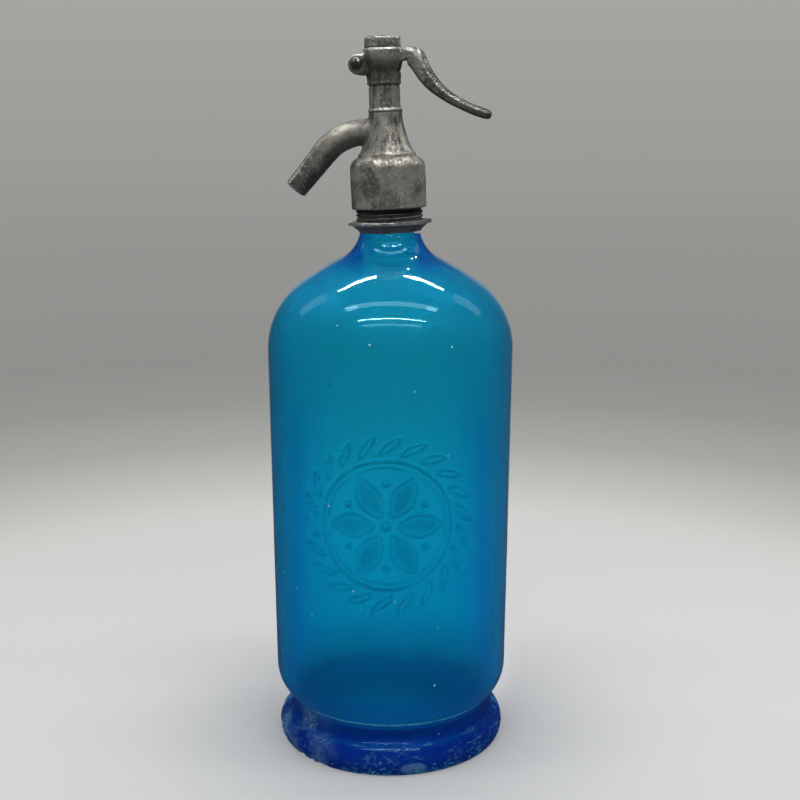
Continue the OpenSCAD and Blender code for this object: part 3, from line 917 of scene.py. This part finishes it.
# Painted shadow: the collar is made dark from 226.8 mm up, nearly black under the head's skirt
COLLAR_SHADOW = [(220, 1.0), (226.2, 1.0), (226.8, 0.45), (229.5, 0.32), (230.6, 0.06), (240, 0.05)]
ALLOY = paint(
    "grey_alloy", old_metal, (0.29, 0.28, 0.245), (0.87, 0.845, 0.735), 0.34,
    streaked=(256.0, 11.5), tones=HEAD_LIGHT_AND_SHADE,
)
ALLOY_LEVER = paint(
    "grey_alloy_worn", old_metal, (0.15, 0.146, 0.133), (0.65, 0.63, 0.565), 0.32,
    pitted=0.56, tones=LEVER_SHADE,
)
ALLOY_COLLAR = paint(
    "grey_alloy_dirty", old_metal, (0.4, 0.39, 0.36), (0.9, 0.88, 0.83), 0.34,
    grime=0.7, tones=COLLAR_SHADOW,
)
STEEL = paint("dark_steel", plain_metal, (0.36, 0.355, 0.34), 0.28)
BRASS = paint("dull_brass", plain_metal, (0.62, 0.46, 0.2), 0.3)
RUBBER = paint("black_rubber", soft_stuff, (0.02,) * 3, (0.06,) * 3, 1.5)
LEATHER = paint("oiled_leather", soft_stuff, (0.1, 0.05, 0.02), (0.26, 0.15, 0.08), 1.0)

# ---- Pieces

TURNED, WEATHERED = turned_tree(), weathered_tree()
PRESSED, CHEWED, THREAD = pressed_glass_tree(), chewed_tree(), thread_tree()
BUBBLES = bubbles_tree()


def stand_for(piece, body, slot, *nodes):
    """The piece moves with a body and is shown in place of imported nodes."""
    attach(piece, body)
    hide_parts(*nodes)


def make_bottle():
    """The bottle with its ornament, its chipped foot, and the bubbles in its wall."""
    sizes = {"Columns": 240, "Gather": 0.64}
    spun = TURNED.grow("bottle_spun", bottle_profile(), BLUE_GLASS, **sizes)
    shell = PRESSED.grow("bottle_shell", spun.data, BLUE_GLASS)
    balls = BUBBLES.grow("bubbles", spun.data, BLUE_GLASS)
    glass = joined("bottle_glass", shell.data, balls.data)
    glass.shade_smooth()
    glass.transform(Matrix.Rotation(VIEW, 4, "Z"))
    bottle = new_object("bottle_glass", glass, BLUE_GLASS)
    discard(spun, shell, balls)
    stand_for(bottle, "bottle_and_head", "blue_glass", "glass_bottle")
    return bottle


def make_tube():
    """The dip tube, whose lower end was melted smooth."""
    low, high, bore, radius = 25.0, 237.0, 1.8, 3
    section = [
        (bore, low), (bore + 0.3, low - 0.01), (radius - 0.1, low), (radius, low + 0.15),
        (radius, high), (bore, high), (bore, low),
    ]
    tube = TURNED.grow("dip_tube_glass", profile_mesh("tube", section), TUBE_GLASS, Columns=48)
    lean(tube.data)
    stand_for(tube, "bottle_and_head", "clear_glass", "dip_tube")


RINGS = [  # on the head: height, how far it stands out, and half its width
    (253.9, 0.3, 0.7), (252.9, -0.25, 0.5), (271.6, 0.22, 0.6), (270.5, -0.18, 0.5),
    (282.3, 0.2, 0.7), (281.2, -0.25, 0.5),
]


def raise_rings(mesh):
    """Draws the turned rings and grooves again, which the remeshing rounded off."""
    points, normals = points_of(mesh), points_of(mesh, "normal")
    x, y, z = leaned(points / MM, -LEAN).T
    away = np.hypot(x, y)
    outward = (x * normals[:, 0] + y * normals[:, 1]) / away > 0.1
    on_spout = (x < -5) & (z > 255) & (z < 270)
    column = outward & (away < 16) & ~on_spout
    for height, depth, half in RINGS:
        ridge = np.clip(1 - np.abs(z - height) / half, 0, 1) ** 0.7
        points += normals * (column * ridge * depth * MM)[:, None]
    move_points(mesh, points)


def make_head():
    head = casting(
        "cast_head", merged_copy("head_body"), 0.385, 2, ALLOY, melt=melt_head, finish=raise_rings,
        Dents=0.18, Pits=0.06, Pitted=0.8,
    )
    stand_for(head, "bottle_and_head", "grey_alloy", "head_body")


def make_plug():
    plug = casting(
        "cast_plug", merged_copy("top_plug"), 0.22, 2, ALLOY,
        Dents=0.2, Pits=0.2, Pitted=1.0, Seed=2.0,
    )
    bitten = CHEWED.grow("chewed_plug", plug.data, ALLOY)
    discard(plug)
    stand_for(bitten, "bottle_and_head", "grey_alloy", "top_plug")


def make_collar():
    """The collar, and the thread that shows between its flange and the head's skirt."""
    collar = casting(
        "cast_collar", merged_copy("neck_collar"), 0.27, 3, ALLOY_COLLAR,
        Dents=0.35, Pits=0.15, Pitted=0.6, Seed=3.0,
    )
    thread = THREAD.grow("thread", mesh_of("thread_start", [(0, 0, 0)]), ALLOY_COLLAR)
    lean(thread.data)
    store(thread.data, "wear", np.full(len(thread.data.vertices), 0.6))
    both = joined("threaded_collar", collar.data, thread.data)
    piece = new_object("threaded_collar", both, ALLOY_COLLAR)
    discard(collar, thread)
    stand_for(piece, "bottle_and_head", "grey_alloy", "neck_collar")


def make_lever():
    form = joined("lever_form", merged_copy("lever"), handle_mesh())
    lever = casting(
        "cast_lever", form, 0.24, 2, ALLOY_LEVER, Dents=0.2, Pits=0.08, Pitted=0.8, Seed=5.0
    )
    stand_for(lever, "lever", "grey_alloy", "lever")


def make_screw():
    form = merged_copy("pivot_screw")
    screw = casting("slotted_screw", form, 0.12, 1, STEEL, Dents=0.03, Pits=0.05, Seed=7.0)
    stand_for(screw, "bottle_and_head", "steel", "pivot_screw")


def make_spring():
    """The valve's spring."""
    foot, top, travel = 241.5, 250.5, 2.2  # heights of its ends, and how far the valve moves
    spring = new_object("coil_spring", merged_copy("valve_spring"), STEEL)
    spring.data.shade_smooth()
    stand_for(spring, "bottle_and_head", "steel", "valve_spring")
    anchor = (leaned([(0, 0, foot)])[0] * MM).tolist()
    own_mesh(spring)


BOTTLE = make_bottle()
make_tube()
make_head()
make_plug()
make_collar()
make_lever()
make_screw()
make_spring()

INNER = {
    ALLOY: ["clamp_ring_left", "clamp_ring_right"],
    BRASS: [
        "stem_button", "valve_stem", "gland_nut", "gland_washer", "seat_ring", "valve_cup",
        "valve_nut", "tube_holder",
    ],
    RUBBER: ["valve_washer", "tube_sleeve"],
    LEATHER: ["lip_gasket", "stem_packing"],
}
for material, names in INNER.items():
    for name in names:
        set_material(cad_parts[name].data, material)

# ---- Floor, light and camera


def grey(value):
    """Linear light of a grey that is written from 0 to 255."""
    share = value / 255
    return share / 12.92 if share <= 0.04045 else ((share + 0.055) / 1.055) ** 2.4


FLOOR = 5000  # from its middle to its sides, in mm
# Painted shade: far from the bottle the floor darkens in a band, as a curved paper sweep would
FLOOR_TONES = [  # distance from the bottle in mm, and the tone of the floor there
    (0, 214), (309, 213), (410, 194), (540, 168), (706, 151), (928, 144), (1454, 147), (4200, 153),
]
# Painted light: the sky is made lighter upwards, as if lit from above
SKY_TONES = [  # how steeply up, from -1 to 1, and the tone of the sky there
    (-0.06, 153), (0.0, 158), (0.06, 163), (0.13, 170), (0.4, 190), (1.0, 205),
]
WARM = (0.99, 1.0, 0.955)


def seen_directly(nodes):
    """1 for rays that show a thing to the camera, straight on or by way of glass or a gloss."""
    path = nodes.add("ShaderNodeLightPath")
    return path.most(path.out("Is Glossy Ray")).most(path.out("Is Transmission Ray"))


def mirrored(nodes):
    """1 for rays that come off a gloss, but not for those that went through glass."""
    path = nodes.add("ShaderNodeLightPath")
    return path.out("Is Glossy Ray") * (1.0 - path.out("Is Transmission Ray"))


def with_dark_room(nodes, direction, tone):
    """The tone straight behind the bottle. Glosses see a dark room to its sides and front."""
    x, y, _ = direction.xyz()
    ahead = y * math.cos(VIEW) - x * math.sin(VIEW)
    aside = x * math.cos(VIEW) + y * math.sin(VIEW)
    side = nodes.mix(aside.fade(-0.5, 0.5), (0.035,) * 3, (0.06,) * 3)
    room = nodes.mix(ahead.fade(0.0, -0.6), side, (0.03,) * 3)
    return nodes.mix(ahead.fade(0.985, 0.9) * mirrored(nodes), tone, room)


def warm_ramp(nodes, place, tones):
    """Greys from 0 to 255, a little warmer than grey, at their places."""
    stops = [(at, tuple(grey(tone) * share for share in WARM)) for at, tone in tones]
    return nodes.ramp(place, stops)


def floor_surface(nodes):
    """Pale paper that takes the shadow near the bottle, with a painted shadow in its colour there
    too, and a bright tone further away.

    Painted light: the paper is lighter under and behind the bottle, and glows under it, where
    real glass gathers light.
    """
    place = object_place(nodes)
    x, y, _ = place.xyz()
    away = (x * x + y * y) ** 0.5
    direction = nodes.stretched(place, 1.0 / away.most(300.0))
    tone = with_dark_room(nodes, direction, warm_ramp(nodes, away, FLOOR_TONES))
    far = nodes.add("ShaderNodeEmission", {"Color": tone})
    # Painted shadow: the paper's colour is darker near the bottle
    near = nodes.mix(away.fade(60.0, 120.0), (0.6, 0.606, 0.6), (0.655, 0.656, 0.642))
    # Painted light: the paper is made lighter under and behind the bottle
    behind = y.fade(14.0, 50.0) * abs(x).fade(58.0, 26.0) * away.fade(140.0, 72.0)
    under = away.fade(50.0, 45.0)
    lit = nodes.mix(behind.most(under), near, (0.97,) * 3)
    paper = nodes.add("ShaderNodeBsdfDiffuse", {"Color": lit})
    share = (away.fade(260.0, 420.0) * seen_directly(nodes)).most(mirrored(nodes))
    # Painted light: the paper under the bottle glows
    share = share.most(under * 0.8)
    return nodes.add("ShaderNodeMixShader", {0: share, 1: paper, 2: far})


def make_floor():
    corners = [(x * FLOOR, y * FLOOR, 0) for x, y in ((-1, -1), (1, -1), (1, 1), (-1, 1))]
    paper = paint("pale_paper", floor_surface)
    floor = new_object("floor", mesh_of("floor", corners, [(0, 1, 2, 3)]), paper)


def make_sky():
    """A plain grey light all round, and what the camera, glass and glosses see of the room."""
    world = bpy.data.worlds.new("studio")
    bpy.context.scene.world = world
    nodes = emptied(world)
    direction = nodes.add("ShaderNodeTexCoord").out("Generated")
    _, _, up = direction.xyz()
    shown = with_dark_room(nodes, direction, warm_ramp(nodes, up, SKY_TONES))
    seen = nodes.add("ShaderNodeBackground", {"Color": shown})
    light = nodes.add("ShaderNodeBackground", {"Color": (0.56,) * 3})
    mixed = nodes.add("ShaderNodeMixShader", {0: seen_directly(nodes), 1: light, 2: seen})
    nodes.add("ShaderNodeOutputWorld", {"Surface": mixed})


# Name, place and size in mm, brightness, and turn in degrees
BOTTLE_LAMPS = [
    ("strip_left", (-161, 180, 650), (190, 13), 120, -16),
    ("strip_right", (160, 195, 650), (206, 13), 120, 23),
    ("panel", (12, -104, 650), (600, 62), 3.8),
    ("panel_left", (-245, -112, 649), (90, 56), 6.5, 8),
    ("panel_right", (270, -108, 649), (90, 56), 6.5, -8),
    ("strip_front", (20, -322, 650), (575, 14), 75),
    ("band_front", (20, -430, 650), (560, 46), 4),
    ("side_left", (-600, 262, 650), (520, 150), 0.9, -18),
    ("side_right", (600, 262, 650), (520, 150), 1.0, 18),
]
SHADED_LAMP = ("strip_middle", (0, 224, 650), (192, 13), 110)
ROOM_LAMPS = [
    ("room_back", (0, 214, 650), (500, 14), 30),
    ("room_middle", (15, -98, 652), (590, 66), 10),
    ("room_front", (20, -330, 650), (580, 12), 36),
    ("room_left", (-650, 262, 650), (440, 70), 6),
    ("room_right", (650, 262, 650), (440, 70), 9),
]


def round_to_view(place):
    """A place that was found with the camera straight in front, turned along with the camera."""
    return Matrix.Rotation(VIEW, 3, "Z") @ Vector(place) * MM


def lamp(name, place, size, radiance, turn=0):
    """A flat lamp at a place in mm, of a size in mm, that shines straight down."""
    data = bpy.data.lights.new(name, "AREA")
    data.shape, data.size, data.size_y = "RECTANGLE", size[0] * MM, size[1] * MM
    data.energy = radiance * math.pi * data.size * data.size_y
    thing = new_object(name, data)
    thing.location = round_to_view(place)
    thing.rotation_euler = (0, 0, VIEW + math.radians(turn))
    return thing


def make_lamps(bottle):
    """Lamps for the bottle's highlights, and lamps for all but the bottle.

    Nothing but the bottle stands in the way of its own lamps, apart from the shaded one.
    """
    only, rest = (bpy.data.collections.new(name) for name in ("bottle_only", "all_but_bottle"))
    for group in (only, rest):
        group.objects.link(bottle)
    rest.collection_objects[0].light_linking.link_state = "EXCLUDE"
    for values in BOTTLE_LAMPS:
        thing = lamp(*values)
        thing.light_linking.receiver_collection = only
        thing.light_linking.blocker_collection = only
    lamp(*SHADED_LAMP).light_linking.receiver_collection = only
    for values in ROOM_LAMPS:
        lamp(*values).light_linking.receiver_collection = rest


def make_camera():
    """The photograph's camera, 12 degrees down and 542 mm from the bottle's axis."""
    data = bpy.data.cameras.new("camera")
    data.sensor_fit, data.sensor_width, data.lens = "HORIZONTAL", 36, 58.05
    camera = new_object("camera", data)
    camera.location = round_to_view((4.1, -542, 265.2))
    camera.rotation_euler = (math.radians(90 - 12), 0, VIEW)
    bpy.context.scene.camera = camera


make_floor()
make_sky()
make_lamps(BOTTLE)
make_camera()
bpy.context.scene.view_settings.view_transform = "Standard"
